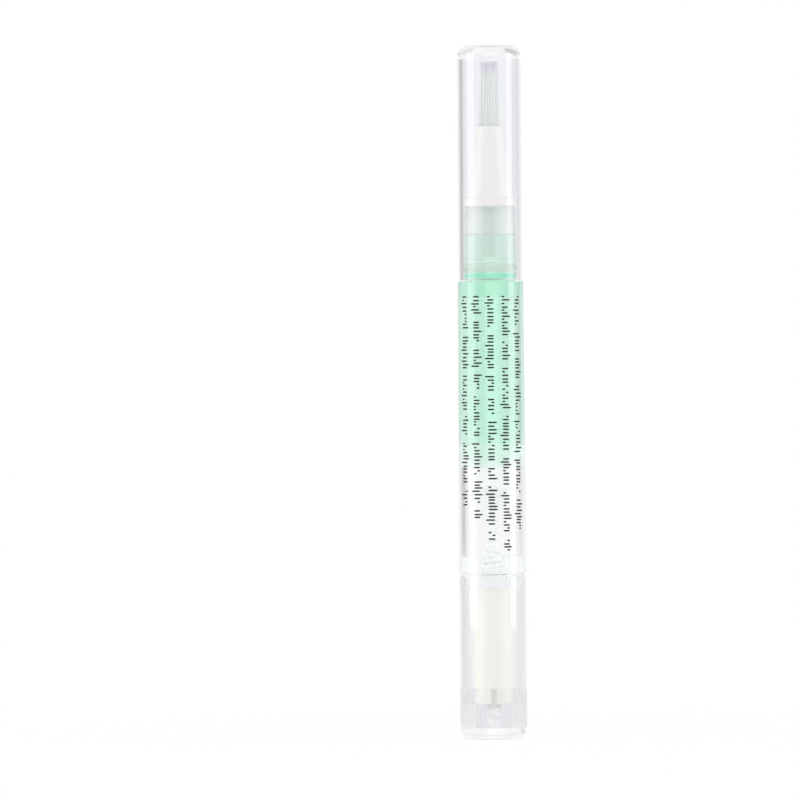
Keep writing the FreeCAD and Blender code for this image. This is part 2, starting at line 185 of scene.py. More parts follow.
# shared surface effects
def newGroup(name, inputs, outputs):
    group = bpy.data.node_groups.new(name, "ShaderNodeTree")
    for label, value in inputs.items():
        socket = group.interface.new_socket(label, in_out="INPUT", socket_type="NodeSocketFloat")
        socket.default_value = value
    for label in outputs:
        group.interface.new_socket(label, in_out="OUTPUT", socket_type="NodeSocketFloat")
    return group, group.nodes.new("NodeGroupInput"), group.nodes.new("NodeGroupOutput")


def addNode(tree, kind, values=None, **settings):
    node = tree.nodes.new(kind)
    for key, value in settings.items():
        setattr(node, key, value)
    for key, value in (values or {}).items():
        if isinstance(value, bpy.types.NodeSocket):
            tree.links.new(value, node.inputs[key])
        else:
            node.inputs[key].default_value = value
    return node


def mathNode(tree, operation, first, second=0.0):
    return addNode(tree, "ShaderNodeMath", {0: first, 1: second}, operation=operation).outputs[0]


def mixColor(tree, factor, first, second):
    return addNode(tree, "ShaderNodeMix", {"Factor": factor, "A": first, "B": second},
                   data_type="RGBA").outputs["Result"]


def mapRange(tree, value, fromMin, fromMax, toMin=0.0, toMax=1.0, **settings):
    return addNode(tree, "ShaderNodeMapRange", {
        "Value": value, "From Min": fromMin, "From Max": fromMax, "To Min": toMin,
        "To Max": toMax}, **settings).outputs[0]


def objectPlace(tree):
    return addNode(tree, "ShaderNodeTexCoord").outputs["Object"]


# slow thickness waves and a fine grain, as moulded plastic has
moulded = {
    "flowScale": 220.0, "flowStretch": (1.0, 1.0, 0.22), "grainScale": 2600.0,
    "flowHeight": 0.8, "grainHeight": 0.2,
}


def makeMouldFlow():
    group, given, result = newGroup(
        "mouldFlow", {"Grain Amount": 0.1}, ("Flow", "Grain", "Height"))
    place = objectPlace(group)
    stretched = addNode(
        group, "ShaderNodeMapping", {"Vector": place, "Scale": moulded["flowStretch"]})
    flow = addNode(group, "ShaderNodeTexNoise", {
        "Vector": stretched.outputs[0], "Scale": moulded["flowScale"],
        "Detail": 2.0, "Roughness": 0.4}).outputs["Fac"]
    grain = addNode(group, "ShaderNodeTexNoise", {
        "Vector": place, "Scale": moulded["grainScale"],
        "Detail": 3.0, "Roughness": 0.6}).outputs["Fac"]
    flowHeight = mathNode(group, "MULTIPLY", flow, moulded["flowHeight"])
    grainHeight = mathNode(group, "MULTIPLY", grain, moulded["grainHeight"])
    group.links.new(flow, result.inputs["Flow"])
    group.links.new(mathNode(group, "MULTIPLY", grain, given.outputs["Grain Amount"]),
                    result.inputs["Grain"])
    group.links.new(mathNode(group, "ADD", flowHeight, grainHeight), result.inputs["Height"])
    return group


# hairlines round the pen and along it, in patches, from the box and the hand
handling = {
    "lines": ((900.0, 900.0, 40.0), (60.0, 60.0, 1400.0)), "lineRange": (0.58, 0.74),
    "patches": 130.0, "patchRange": (0.45, 0.65),
}


def makeHandlingMarks():
    group, given, result = newGroup("handlingMarks", {"Amount": 0.5}, ("Marks",))
    place = objectPlace(group)
    lines = []
    for stretch in handling["lines"]:
        thin = addNode(group, "ShaderNodeMapping", {"Vector": place, "Scale": stretch})
        noise = addNode(group, "ShaderNodeTexNoise", {
            "Vector": thin.outputs[0], "Scale": 1.0, "Detail": 4.0, "Roughness": 0.7})
        lines.append(mapRange(group, noise.outputs["Fac"], *handling["lineRange"]))
    patches = addNode(
        group, "ShaderNodeTexNoise", {"Vector": place, "Scale": handling["patches"]})
    patch = mapRange(group, patches.outputs["Fac"], *handling["patchRange"])
    shown = mathNode(group, "MULTIPLY", mathNode(group, "MAXIMUM", *lines), patch)
    group.links.new(mathNode(group, "MULTIPLY", shown, given.outputs["Amount"]),
                    result.inputs["Marks"])
    return group


mouldFlow = makeMouldFlow()
handlingMarks = makeHandlingMarks()


def newMaterial(name):
    material = bpy.data.materials.new(name)
    material.use_nodes = True
    tree = material.node_tree
    tree.nodes.clear()
    output = tree.nodes.new("ShaderNodeOutputMaterial")
    shader = tree.nodes.new("ShaderNodeBsdfPrincipled")
    return material, tree, output, shader


# 1 on a bore's wall, inside a radius and between two heights, and 0 elsewhere
def boreMask(tree, radius, low, high):
    fade = 0.1  # it fades over this height at each end
    parts = addNode(tree, "ShaderNodeSeparateXYZ", {0: objectPlace(tree)})
    across = addNode(tree, "ShaderNodeCombineXYZ", {0: parts.outputs["X"], 1: parts.outputs["Y"]})
    reach = addNode(tree, "ShaderNodeVectorMath", {0: across.outputs[0]}, operation="LENGTH")
    inside = mathNode(tree, "LESS_THAN", reach.outputs["Value"], radius * mm)
    over = mapRange(tree, parts.outputs["Z"], low * mm, (low + fade) * mm)
    under = mapRange(tree, parts.outputs["Z"], high * mm, (high - fade) * mm)
    return mathNode(tree, "MULTIPLY", inside, mathNode(tree, "MULTIPLY", over, under))


# colour, roughness and waviness of a moulded piece
def addSurfaceWear(tree, shader, look):
    flow = addNode(
        tree, "ShaderNodeGroup", {"Grain Amount": look["grain"]}, node_tree=mouldFlow)
    marks = addNode(tree, "ShaderNodeGroup", {"Amount": look["marks"]}, node_tree=handlingMarks)
    tone = mixColor(tree, flow.outputs["Flow"], look["color"], look["color2"])
    tree.links.new(tone, shader.inputs["Base Color"])
    marked = mathNode(tree, "MULTIPLY", marks.outputs["Marks"], markRoughness)
    worn = mathNode(tree, "ADD", flow.outputs["Grain"], marked)
    uneven = mathNode(tree, "ADD", worn, look["roughness"])
    if "frost" in look:
        frosted = mathNode(tree, "MULTIPLY", boreMask(tree, *look["frostArea"]), look["frost"])
        uneven = mathNode(tree, "ADD", uneven, frosted)
    tree.links.new(uneven, shader.inputs["Roughness"])
    bump = addNode(tree, "ShaderNodeBump", {
        "Height": flow.outputs["Height"], "Strength": look["bump"], "Distance": bumpDepth * mm})
    tree.links.new(bump.outputs["Normal"], shader.inputs["Normal"])


# a clear piece shows what is behind it by refraction, and lets the light on it straight through
def lightThrough(tree, surface, tint):
    path = addNode(tree, "ShaderNodeLightPath")
    through = mathNode(
        tree, "MAXIMUM", path.outputs["Is Shadow Ray"], path.outputs["Is Diffuse Ray"])
    caught = mathNode(tree, "GREATER_THAN", path.outputs["Glossy Depth"], lightSteps)
    clear = addNode(tree, "ShaderNodeBsdfTransparent", {"Color": tint})
    mix = addNode(tree, "ShaderNodeMixShader", {
        "Fac": mathNode(tree, "MAXIMUM", through, caught), 1: surface, 2: clear.outputs[0]})
    return mix.outputs[0]


def plasticMaterial(name, look):
    material, tree, output, shader = newMaterial(name)
    addSurfaceWear(tree, shader, look)
    shader.inputs["IOR"].default_value = look["ior"]
    shader.inputs["Transmission Weight"].default_value = look.get("clear", 0.0)
    # light goes about a millimetre into white plastic
    shader.inputs["Subsurface Weight"].default_value = look.get("subsurface", 0.0)
    shader.inputs["Subsurface Radius"].default_value = (1.0, 1.0, 0.9)
    shader.inputs["Subsurface Scale"].default_value = 1.0 * mm
    surface = shader.outputs[0]
    if "letsLightIn" in look:
        surface = lightThrough(tree, surface, look["letsLightIn"])
    tree.links.new(surface, output.inputs["Surface"])
    return material


def liquidMaterial(name, look, density, volume, ior):
    material, tree, output, shader = newMaterial(name)
    shader.inputs["Base Color"].default_value = look["color"]
    shader.inputs["Roughness"].default_value = look["roughness"]
    shader.inputs["IOR"].default_value = ior
    shader.inputs["Transmission Weight"].default_value = 1.0
    surface = lightThrough(tree, shader.outputs[0], look["letsLightIn"])
    tree.links.new(surface, output.inputs["Surface"])
    absorb = addNode(tree, "ShaderNodeVolumeAbsorption", {"Color": volume, "Density": density})
    tree.links.new(absorb.outputs[0], output.inputs["Volume"])
    return material


def dress(piece, material, replaced=()):
    piece.data.materials.clear()
    piece.data.materials.append(material)
    if replaced:
        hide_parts(*replaced)


print("helpers and shared effects are ready")

# cap
capRadius, capFoot, capTop = span("cap")
cap = {
    "wall": 0.87, "draft": 0.13, "endWall": 2.2, "crown": 0.45,
    "edgeRound": 1.9, "boreRound": 0.7, "mouthRound": 0.2,
    "domeReach": 0.6, "domePoints": 5,  # the crown is curved within this share of the radius
    "look": {
        "color": shade(250, 250, 252), "color2": shade(248, 249, 252), "roughness": 0.02,
        "grain": 0.02, "bump": 0.04, "ior": 1.49, "clear": 1.0, "marks": 0.5,
        "letsLightIn": (0.98, 0.98, 0.985, 1.0)},
}


def makeCap():
    boreEnd = capTop - cap["endWall"]
    mouthRadius = capRadius - cap["wall"]
    shoulder = capTop - cap["crown"]
    corners = [
        (0, boreEnd),
        (mouthRadius - cap["draft"], boreEnd, cap["boreRound"]),
        (mouthRadius, capFoot, cap["mouthRound"]),
        (capRadius, capFoot, cap["mouthRound"]),
        (capRadius, shoulder, cap["edgeRound"])]
    for i in range(cap["domePoints"]):
        share = cap["domeReach"] * (1 - i / cap["domePoints"])
        corners.append((capRadius * share, capTop - cap["crown"] * share ** 2))
    corners.append((0, capTop))
    piece = spunPiece("capShell", corners, "cap")
    dress(piece, plasticMaterial("capClear", cap["look"]), ["cap"])


makeCap()
print("cap is made")

# barrel
barrelRadius, barrelFoot, barrelTop = span("barrel")
barrel = {
    "topRadius": 6.13, "edgeRound": 0.12, "mouthChamfer": 0.3, "bore": 5.0, "socketStep": 0.2,
    "collarPlug": 3.0, "nutRing": 3.45,
    "look": {
        "color": shade(253, 254, 254), "color2": shade(252, 253, 253), "roughness": 0.02,
        "grain": 0.02, "bump": 0.012, "ior": 1.49, "clear": 1.0, "marks": 0.2,
        "letsLightIn": (0.98, 0.985, 0.98, 1.0)},
}
socketRadius = barrel["bore"] + barrel["socketStep"]
collarSeat = barrelTop - barrel["collarPlug"]
nutTop = barrelFoot + barrel["nutRing"]


def makeBarrel():
    corners = [
        (socketRadius + barrel["mouthChamfer"], barrelFoot),
        (barrelRadius, barrelFoot, barrel["edgeRound"]),
        (barrel["topRadius"], barrelTop, barrel["edgeRound"]),
        (socketRadius, barrelTop),
        (socketRadius, collarSeat),
        (barrel["bore"], collarSeat),
        (barrel["bore"], nutTop),
        (socketRadius, nutTop),
        (socketRadius, barrelFoot + barrel["mouthChamfer"])]
    piece = spunPiece("barrelTube", corners, "barrel")
    dress(piece, plasticMaterial("barrelClear", barrel["look"]), ["barrel"])


makeBarrel()
print("barrel is made")

# collar and its seal
collar = {
    "grip": 0.02, "neck": 4.85, "bore": 3.65, "spigotBore": 3.05, "edgeRound": 0.4,
    "plugBore": 4.75, "plugTop": -0.2, "boreStart": 0.6, "boreRound": 0.3, "stepRound": 0.2,
    "grooveStart": 1.8, "grooveWidth": 1.4, "grooveDepth": 0.4,
    "beadStart": 3.4, "beadWidth": 0.9, "beadHeight": 0.15, "beadRound": 0.06,
    "look": {
        "color": shade(254, 255, 255), "color2": shade(252, 254, 254), "roughness": 0.1,
        "grain": 0.04, "bump": 0.05, "ior": 1.49, "clear": 1.0, "marks": 0.3,
        "letsLightIn": (0.98, 0.985, 0.985, 1.0)},
}
seal = {
    "edgeGap": 0.05, "proud": 0.17, "round": 0.25,
    "look": {
        "color": shade(252, 254, 250), "color2": shade(249, 252, 247), "roughness": 0.28,
        "grain": 0.1, "bump": 0.1, "ior": 1.15, "clear": 0.8, "marks": 0.1},
}
neckTop = span("collar")[2]
oilTop = span("brush_ferrule")[1]


def makeCollar():
    neck, bead = collar["neck"], collar["neck"] + collar["beadHeight"]
    grooveFoot = barrelTop + collar["grooveStart"]
    grooveTop = grooveFoot + collar["grooveWidth"]
    grooveRadius = neck - collar["grooveDepth"]
    beadFoot = barrelTop + collar["beadStart"]
    beadTop = beadFoot + collar["beadWidth"]
    pressRadius = socketRadius + collar["grip"]
    corners = [
        (collar["plugBore"], collarSeat),
        (pressRadius, collarSeat),
        (pressRadius, barrelTop),
        (neck, barrelTop),
        (neck, grooveFoot),
        (grooveRadius, grooveFoot),
        (grooveRadius, grooveTop),
        (neck, grooveTop),
        (neck, beadFoot),
        (bead, beadFoot + collar["beadHeight"], collar["beadRound"]),
        (bead, beadTop - collar["beadHeight"], collar["beadRound"]),
        (neck, beadTop),
        (neck, neckTop, collar["edgeRound"]),
        (collar["spigotBore"], neckTop),
        (collar["spigotBore"], oilTop),
        (collar["bore"], oilTop, collar["stepRound"]),
        (collar["bore"], barrelTop + collar["boreStart"], collar["boreRound"]),
        (collar["plugBore"], barrelTop + collar["plugTop"], collar["boreRound"])]
    piece = spunPiece("collarNeck", corners, "barrel")
    dress(piece, plasticMaterial("collarClear", collar["look"]), ["collar"])
    foot = grooveFoot + seal["edgeGap"]
    top = grooveTop - seal["edgeGap"]
    outer = neck + seal["proud"]
    inner = grooveRadius - collar["grip"]
    band = spunPiece("sealBand", [
        (inner, foot), (outer, foot, seal["round"]), (outer, top, seal["round"]), (inner, top)],
        "barrel")
    dress(band, plasticMaterial("sealRubber", seal["look"]), ["cap_seal_ring"])


makeCollar()
print("collar and seal are made")

# ferrule, which grips the tuft
ferruleTip = span("brush_ferrule")[2]
ferrule = {
    "grip": 0.02, "flange": 1.5, "flangeRadius": 4.85, "flangeRound": 0.25, "foot": 4.0,
    "flare": 0.7, "tip": 2.5, "lipRound": 0.12, "tubeGap": 0.03, "spigotRound": 0.15,
    "look": {
        "color": shade(251, 250, 245), "color2": shade(248, 247, 242), "roughness": 0.25,
        "grain": 0.08, "bump": 0.08, "ior": 1.5, "clear": 0.12, "marks": 0.3},
    "spigotLook": {
        "color": shade(251, 255, 250), "color2": shade(249, 255, 248), "roughness": 0.2,
        "grain": 0.05, "bump": 0.05, "ior": 1.49, "clear": 0.98, "marks": 0.1,
        "letsLightIn": (0.97, 0.98, 0.975, 1.0)},
}
tubeRadius = span("feed_tube")[0]
rootFoot = span("bristle_root")[1]
tuftRadius = span("brush")[0]


def makeFerrule():
    flangeTop = neckTop + ferrule["flange"]
    tubeHole = tubeRadius + ferrule["tubeGap"]
    tuftHole = tuftRadius + ferrule["tubeGap"]
    sleeve = spunPiece("ferruleSleeve", [
        (tubeHole, neckTop),
        (ferrule["flangeRadius"], neckTop, ferrule["flangeRound"]),
        (ferrule["flangeRadius"], flangeTop, ferrule["flangeRound"]),
        (ferrule["foot"], flangeTop, ferrule["flare"]),
        (ferrule["tip"], ferruleTip, ferrule["lipRound"]),
        (tuftHole, ferruleTip),
        (tuftHole, rootFoot),
        (tubeHole, rootFoot)], "barrel")
    dress(sleeve, plasticMaterial("ferruleCream", ferrule["look"]),
          ["brush_ferrule"])
    spigotRadius = collar["spigotBore"] + ferrule["grip"]
    spigot = spunPiece("ferruleSpigot", [
        (0, oilTop), (spigotRadius, oilTop, ferrule["spigotRound"]), (spigotRadius, neckTop),
        (0, neckTop)], "barrel")
    dress(spigot, plasticMaterial("ferruleClear", ferrule["spigotLook"]),
          ["brush_ferrule"])


makeFerrule()
print("ferrule is made")

# feed tube
tubeFoot, tubeTop = span("feed_tube")[1:]
tube = {
    "bore": 0.55, "edgeRound": 0.08, "steps": 64,
    "look": {
        "color": shade(252, 253, 252), "color2": shade(249, 251, 250), "roughness": 0.25,
        "grain": 0.1, "bump": 0.05, "ior": 1.03, "clear": 0.85, "marks": 0.1},
}


def makeTube():
    piece = spunPiece("feedTube", [
        (tube["bore"], tubeFoot),
        (tubeRadius, tubeFoot, tube["edgeRound"]),
        (tubeRadius, tubeTop, tube["edgeRound"]),
        (tube["bore"], tubeTop)], "barrel", tube["steps"])
    dress(piece, plasticMaterial("tubeMilky", tube["look"]), ["feed_tube"])


makeTube()
print("feed tube is made")

# brush
brushTip = span("brush")[2]
brush = {
    "strands": 760, "strand": 0.075, "tipRadius": 1.85, "tipRound": 0.8, "levels": 5,
    "stray": 0.05, "lengthSpread": 0.35, "held": 1.2,
    "edge": 1.2,  # the outer strands stand this many strand radii inside the tuft's radius
    "overTube": 0.1,  # the middle strands start this far over the feed tube
    "closing": 1.6,  # over 1, the strands run straight at first and close in near the tip
    "point": 0.45,  # how thick a strand's end is, as a share of the strand
    "color": shade(244, 246, 243), "color2": shade(233, 238, 232), "roughness": (0.4, 0.6),
    "tipColor": shade(243, 242, 247), "tipFade": (3.0, 1.8),  # how far under the brush's end
    "grainStretch": (4200.0, 4200.0, 90.0), "sharpFrom": 80,
}


def makeStrand(base, end, angle, startHeight, topHeight, lean, swing):
    bm = bmesh.new()
    made = bmesh.ops.create_circle(
        bm, cap_ends=True, radius=brush["strand"] * mm, segments=4)["verts"]
    spread = Matrix.Rotation(angle * 3, 3, "Z")
    bmesh.ops.rotate(bm, cent=(0, 0, 0), verts=made, matrix=spread)
    outward = Vector((math.cos(angle), math.sin(angle), 0))
    bmesh.ops.translate(bm, verts=made, vec=(outward * base + Vector((0, 0, startHeight))) * mm)
    top = bm.faces[:]
    before = 0.0
    for level in range(1, brush["levels"] + 1):
        part = level / brush["levels"]
        taken = bmesh.ops.extrude_face_region(bm, geom=top)["geom"]
        if level > 1:  # the face that was extruded would stay inside the strand
            bmesh.ops.delete(bm, geom=top, context="FACES_ONLY")
        top = [item for item in taken if isinstance(item, bmesh.types.BMFace)]
        ring = [item for item in taken if isinstance(item, bmesh.types.BMVert)]
        closing = part ** brush["closing"] - before ** brush["closing"]
        step = outward * (end - base) * closing + Vector((lean, swing, 0)) * closing
        step.z = (topHeight - startHeight) * (part - before)
        bmesh.ops.translate(bm, verts=ring, vec=step * mm)
        before = part
    middle = sum((vert.co for vert in ring), Vector()) / len(ring)
    bmesh.ops.scale(bm, verts=ring, vec=(brush["point"], brush["point"], 1.0),
                    space=Matrix.Translation(-middle))
    return bm


def makeBrush():
    bm = bmesh.new()
    strand = bpy.data.meshes.new("strand")
    golden = math.pi * (3 - math.sqrt(5))
    for i in range(brush["strands"]):
        share = math.sqrt((i + 0.5) / brush["strands"])
        base = (tuftRadius - brush["strand"] * brush["edge"]) * share
        end = (brush["tipRadius"] - brush["strand"]) * share
        overTube = base < tubeRadius + brush["strand"]
        inset = max(0.0, end - brush["tipRadius"] + brush["tipRound"])
        drop = brush["tipRound"] - math.sqrt(max(0.0, brush["tipRound"] ** 2 - inset ** 2))
        small = makeStrand(
            base, end, i * golden,
            tubeTop + brush["overTube"] if overTube else ferruleTip - brush["held"],
            brushTip - drop - random.random() * brush["lengthSpread"],
            random.uniform(-1, 1) * brush["stray"], random.uniform(-1, 1) * brush["stray"])
        small.to_mesh(strand)
        small.free()
        bm.from_mesh(strand)
    bpy.data.meshes.remove(strand)
    piece = finishMesh("brushTuft", bm, "barrel", brush["sharpFrom"])
    material, tree, output, shader = newMaterial("bristleNylon")
    place = objectPlace(tree)
    fine = addNode(tree, "ShaderNodeMapping", {"Vector": place, "Scale": brush["grainStretch"]})
    noise = addNode(tree, "ShaderNodeTexNoise", {"Vector": fine.outputs[0], "Scale": 1.0})
    tone = mixColor(tree, noise.outputs["Fac"], brush["color"], brush["color2"])
    height = addNode(tree, "ShaderNodeSeparateXYZ", {0: place}).outputs["Z"]
    tipped = mapRange(tree, height, *((brushTip - under) * mm for under in brush["tipFade"]))
    tone = mixColor(tree, tipped, tone, brush["tipColor"])
    tree.links.new(tone, shader.inputs["Base Color"])
    rough = mapRange(tree, noise.outputs["Fac"], 0.0, 1.0, *brush["roughness"])
    tree.links.new(rough, shader.inputs["Roughness"])
    tree.links.new(shader.outputs[0], output.inputs["Surface"])
    dress(piece, material, ["brush"])


makeBrush()
print("brush is made")

# piston
pistonRadius, pistonFoot, pistonRim = span("piston")
piston = {
    "lipHeight": 1.5, "lipRound": 0.2, "waist": 0.35, "waistRound": 0.15,
    "rimWall": 0.55, "cupDepth": 4.1, "bowlPoints": 12,
    "footWall": 0.8, "hollow": 2.8, "hollowRound": 0.3, "hub": 2.4, "hubRound": 0.1,
    "neckHole": 1.1, "socket": 1.55, "socketFoot": 1.3, "socketTop": 3.3,
    "look": {
        "color": shade(254, 255, 255), "color2": shade(253, 255, 254), "roughness": 0.3,
        "grain": 0.08, "bump": 0.05, "ior": 1.03, "clear": 0.85, "marks": 0.1,
        "letsLightIn": (0.95, 0.96, 0.96, 1.0)},
}


def cupCorners(radius, depth):  # a bowl from its middle up to the rim
    corners = []
    for i in range(piston["bowlPoints"] + 1):
        share = i / piston["bowlPoints"]
        corners.append((radius * share, pistonRim - depth * (1 - share ** 3)))
    return corners


def makePiston():
    lip = pistonRadius
    waist = lip - piston["waist"]
    foot, rim = pistonFoot, pistonRim
    corners = [
        (0, foot + piston["socketTop"]),
        (piston["socket"], foot + piston["socketTop"]),
        (piston["socket"], foot + piston["socketFoot"]),
        (piston["neckHole"], foot + piston["socketFoot"]),
        (piston["neckHole"], foot),
        (piston["hub"], foot, piston["hubRound"]),
        (piston["hub"], foot + piston["hollow"]),
        (waist - piston["footWall"], foot + piston["hollow"], piston["hollowRound"]),
        (waist - piston["footWall"], foot),
        (lip, foot, piston["lipRound"]),
        (lip, foot + piston["lipHeight"]),
        (waist, foot + piston["lipHeight"] + piston["waist"], piston["waistRound"]),
        (waist, rim - piston["lipHeight"] - piston["waist"], piston["waistRound"]),
        (lip, rim - piston["lipHeight"]),
        (lip, rim)]
    corners += reversed(cupCorners(lip - piston["rimWall"], piston["cupDepth"]))
    piece = spunPiece("pistonCup", corners, "piston")
    dress(piece, plasticMaterial("pistonMilky", piston["look"]), ["piston"])


makePiston()
print("piston is made")

# oil: in the piston's cup, in the barrel and in the collar
oil = {
    "wet": 0.02,  # the oil reaches this far into what it touches, so no air shows between
    "fade": 4.0,  # the green thins out over this height over the piston
    "ringFoot": 0.4, "ringTop": 1.7, "ringRadius": 4.4, "ringPoints": 16,
    "look": {
        "color": (1.0, 1.0, 1.0, 1.0), "roughness": 0.0, "letsLightIn": (1.0, 1.0, 1.0, 1.0)},
    # density, the colour that comes through, and ior, which is 1 for a colour inside other oil
    "liquids": {
        "oilBase": (10.0, (0.05, 0.97, 0.55, 1.0), 1.47),
        "oilCup": (36.0, (0.05, 0.97, 0.55, 1.0), 1.0),
        "oilColumn": (0.0, (1.0, 1.0, 1.0, 1.0), 1.47),
        "oilGreen": (54.0, (0.05, 0.955, 0.55, 1.0), 1.0),
        "oilPlug": (75.0, (0.05, 0.955, 0.55, 1.0), 1.47),
        "oilCollar": (32.0, (0.05, 0.98, 0.35, 1.0), 1.47),
        "oilRing": (115.0, (0.05, 1.0, 0.74, 1.0), 1.0)},
}


def lensCorners(radius, foot, top):  # a flat round drop, thick in the middle
    middle, half = (foot + top) / 2, (top - foot) / 2
    corners = [(0, foot)]
    for i in range(1, oil["ringPoints"]):
        angle = math.pi * i / oil["ringPoints"]
        corners.append((radius * math.sin(angle), middle - half * math.cos(angle)))
    return corners + [(0, top)]


def makeOil():
    wet = oil["wet"]
    boreRadius = barrel["bore"] + wet
    greenRadius = barrel["bore"] - wet
    rimRadius = pistonRadius - piston["rimWall"]
    collarRadius = collar["bore"] + wet
    wideRadius = collar["plugBore"] + wet
    # no two flat faces lie at one height: the light would lose count of what it is in
    baseFoot, baseTop = pistonRim - piston["cupDepth"], pistonRim + wet * 2
    columnFoot, greenFoot = pistonRim + wet, pistonRim + wet * 3
    columnTop, greenTop = collarSeat + wet, collarSeat - wet
    wideFoot, wideTop = collarSeat + wet / 2, barrelTop + collar["boreStart"] - wet
    shapes = {
        "oilBase": [
            (0, baseFoot), (boreRadius, baseFoot), (boreRadius, baseTop), (0, baseTop)],
        "oilCup": cupCorners(rimRadius - wet, piston["cupDepth"] - wet) + [(0, pistonRim)],
        "oilColumn": [
            (0, columnFoot), (boreRadius, columnFoot), (boreRadius, columnTop), (0, columnTop)],
        "oilGreen": [
            (0, greenFoot), (rimRadius, greenFoot), (greenRadius, pistonRim + oil["fade"]),
            (greenRadius, greenTop), (0, greenTop)],
        "oilPlug": [
            (0, wideFoot), (wideRadius, wideFoot),
            (wideRadius, barrelTop + collar["plugTop"], collar["boreRound"]),
            (collarRadius, wideTop), (0, wideTop)],
        "oilCollar": [
            (0, wideTop - wet), (collarRadius, wideTop - wet), (collarRadius, oilTop),
            (collar["spigotBore"], oilTop + wet), (0, oilTop + wet)],
        "oilRing": lensCorners(
            oil["ringRadius"], barrelTop + oil["ringFoot"], barrelTop + oil["ringTop"])}
    for name, corners in shapes.items():
        piece = spunPiece(name, corners, "piston" if name in ("oilBase", "oilCup") else "barrel")
        if name in ("oilColumn", "oilGreen"):
            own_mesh(piece)
        dress(piece, liquidMaterial(name, oil["look"], *oil["liquids"][name]), ["oil"])


makeOil()
print("oil is made")

# drive sleeve, the white core of the knob
sleeveFoot, sleeveTop = span("drive_sleeve")[1:]
sleeve = {
    "radius": 3.55, "bore": 2.2, "headLength": 1.9, "headRadius": 2.8, "headFlats": 4.8,
    "driveLength": 4.4, "driveRadius": 1.81, "driveFlats": 2.52,
    "slots": 4, "slotWidth": 1.0, "slotDepth": 0.5, "slotHeight": 2.6, "edgeRound": 0.12,
    "look": {
        "color": shade(243, 243, 236), "color2": shade(240, 240, 232), "roughness": 0.35,
        "grain": 0.1, "bump": 0.1, "ior": 1.49, "marks": 0.2, "subsurface": 0.2},
}


def flattedBar(radius, flats, foot, top):
    bm = bmesh.new()
    bmesh.ops.create_cone(
        bm, cap_ends=True, segments=boreSteps, radius1=radius * mm, radius2=radius * mm,
        depth=(top - foot) * mm)
    bmesh.ops.translate(bm, verts=bm.verts, vec=(0, 0, (foot + top) / 2 * mm))
    for side in (-1, 1):
        cut = bmesh.ops.bisect_plane(
            bm, geom=bm.verts[:] + bm.edges[:] + bm.faces[:], clear_outer=True,
            plane_co=(side * flats / 2 * mm, 0, 0), plane_no=(side, 0, 0))
        rim = [item for item in cut["geom_cut"] if isinstance(item, bmesh.types.BMEdge)]
        bmesh.ops.holes_fill(bm, edges=rim)
    return bm


def makeSleeve():
    shoulder = sleeveTop - sleeve["headLength"]
    driveFoot = sleeveTop - sleeve["driveLength"]
    piece = spunPiece("driveSleeve", [
        (0, sleeveFoot), (sleeve["radius"], sleeveFoot, sleeve["edgeRound"]),
        (sleeve["radius"], shoulder, sleeve["edgeRound"]), (sleeve["headRadius"], shoulder),
        (sleeve["headRadius"], sleeveTop), (0, sleeveTop)], "knob")
    low, high = sleeveFoot - cutPast, sleeveTop + cutPast
    cuts = [
        spunShape([(0, low), (sleeve["bore"], low), (sleeve["bore"], driveFoot), (0, driveFoot)],
                  boreSteps),
        flattedBar(sleeve["driveRadius"], sleeve["driveFlats"], driveFoot - cutPast, high)]
    headReach = sleeve["headRadius"] + cutPast
    for side in (-1, 1):
        near, far = sorted((side * sleeve["headFlats"] / 2, side * headReach))
        cuts.append(block((near, -sleeve["radius"], shoulder), (far, sleeve["radius"], high)))
    half = sleeve["slotWidth"] / 2
    for i in range(sleeve["slots"]):
        slot = block((sleeve["radius"] - sleeve["slotDepth"], -half, low),
                     (sleeve["radius"] + cutPast, half, sleeveFoot + sleeve["slotHeight"]))
        bmesh.ops.rotate(slot, cent=(0, 0, 0), verts=slot.verts,
                         matrix=Matrix.Rotation(math.tau * i / sleeve["slots"], 3, "Z"))
        cuts.append(slot)
    combine(piece, cuts, "DIFFERENCE")
    dress(piece, plasticMaterial("sleeveWhite", sleeve["look"]), ["drive_sleeve"])


makeSleeve()
print("drive sleeve is made")

# knob shell
knobRadius, knobFoot, knobTop = span("knob_shell")
knob = {
    "wall": 0.97, "edgeRound": 0.15, "grooveRadius": 5.65, "grooveFoot": 28.8, "grooveTop": 29.8,
    "look": {
        "color": shade(250, 250, 251), "color2": shade(249, 249, 250), "roughness": 0.02,
        "grain": 0.02, "bump": 0.04, "ior": 1.49, "clear": 1.0, "marks": 0.7,
        "letsLightIn": (0.98, 0.98, 0.985, 1.0), "frost": 0.12},
}


def makeKnob():
    bore = knobRadius - knob["wall"]
    # only the bore is frosted, inside this radius and from this foot to this top
    look = {**knob["look"], "frostArea": (knobRadius - knob["wall"] / 2, knobFoot, knobTop)}
    piece = spunPiece("knobShell", [
        (bore, knobFoot),
        (knobRadius, knobFoot, knob["edgeRound"]),
        (knobRadius, knobTop, knob["edgeRound"]),
        (bore, knobTop),
        (bore, knob["grooveTop"]),
        (knob["grooveRadius"], knob["grooveTop"]),
        (knob["grooveRadius"], knob["grooveFoot"]),
        (bore, knob["grooveFoot"])], "knob")
    dress(piece, plasticMaterial("knobClear", look), ["knob_shell"])


makeKnob()
print("knob shell is made")

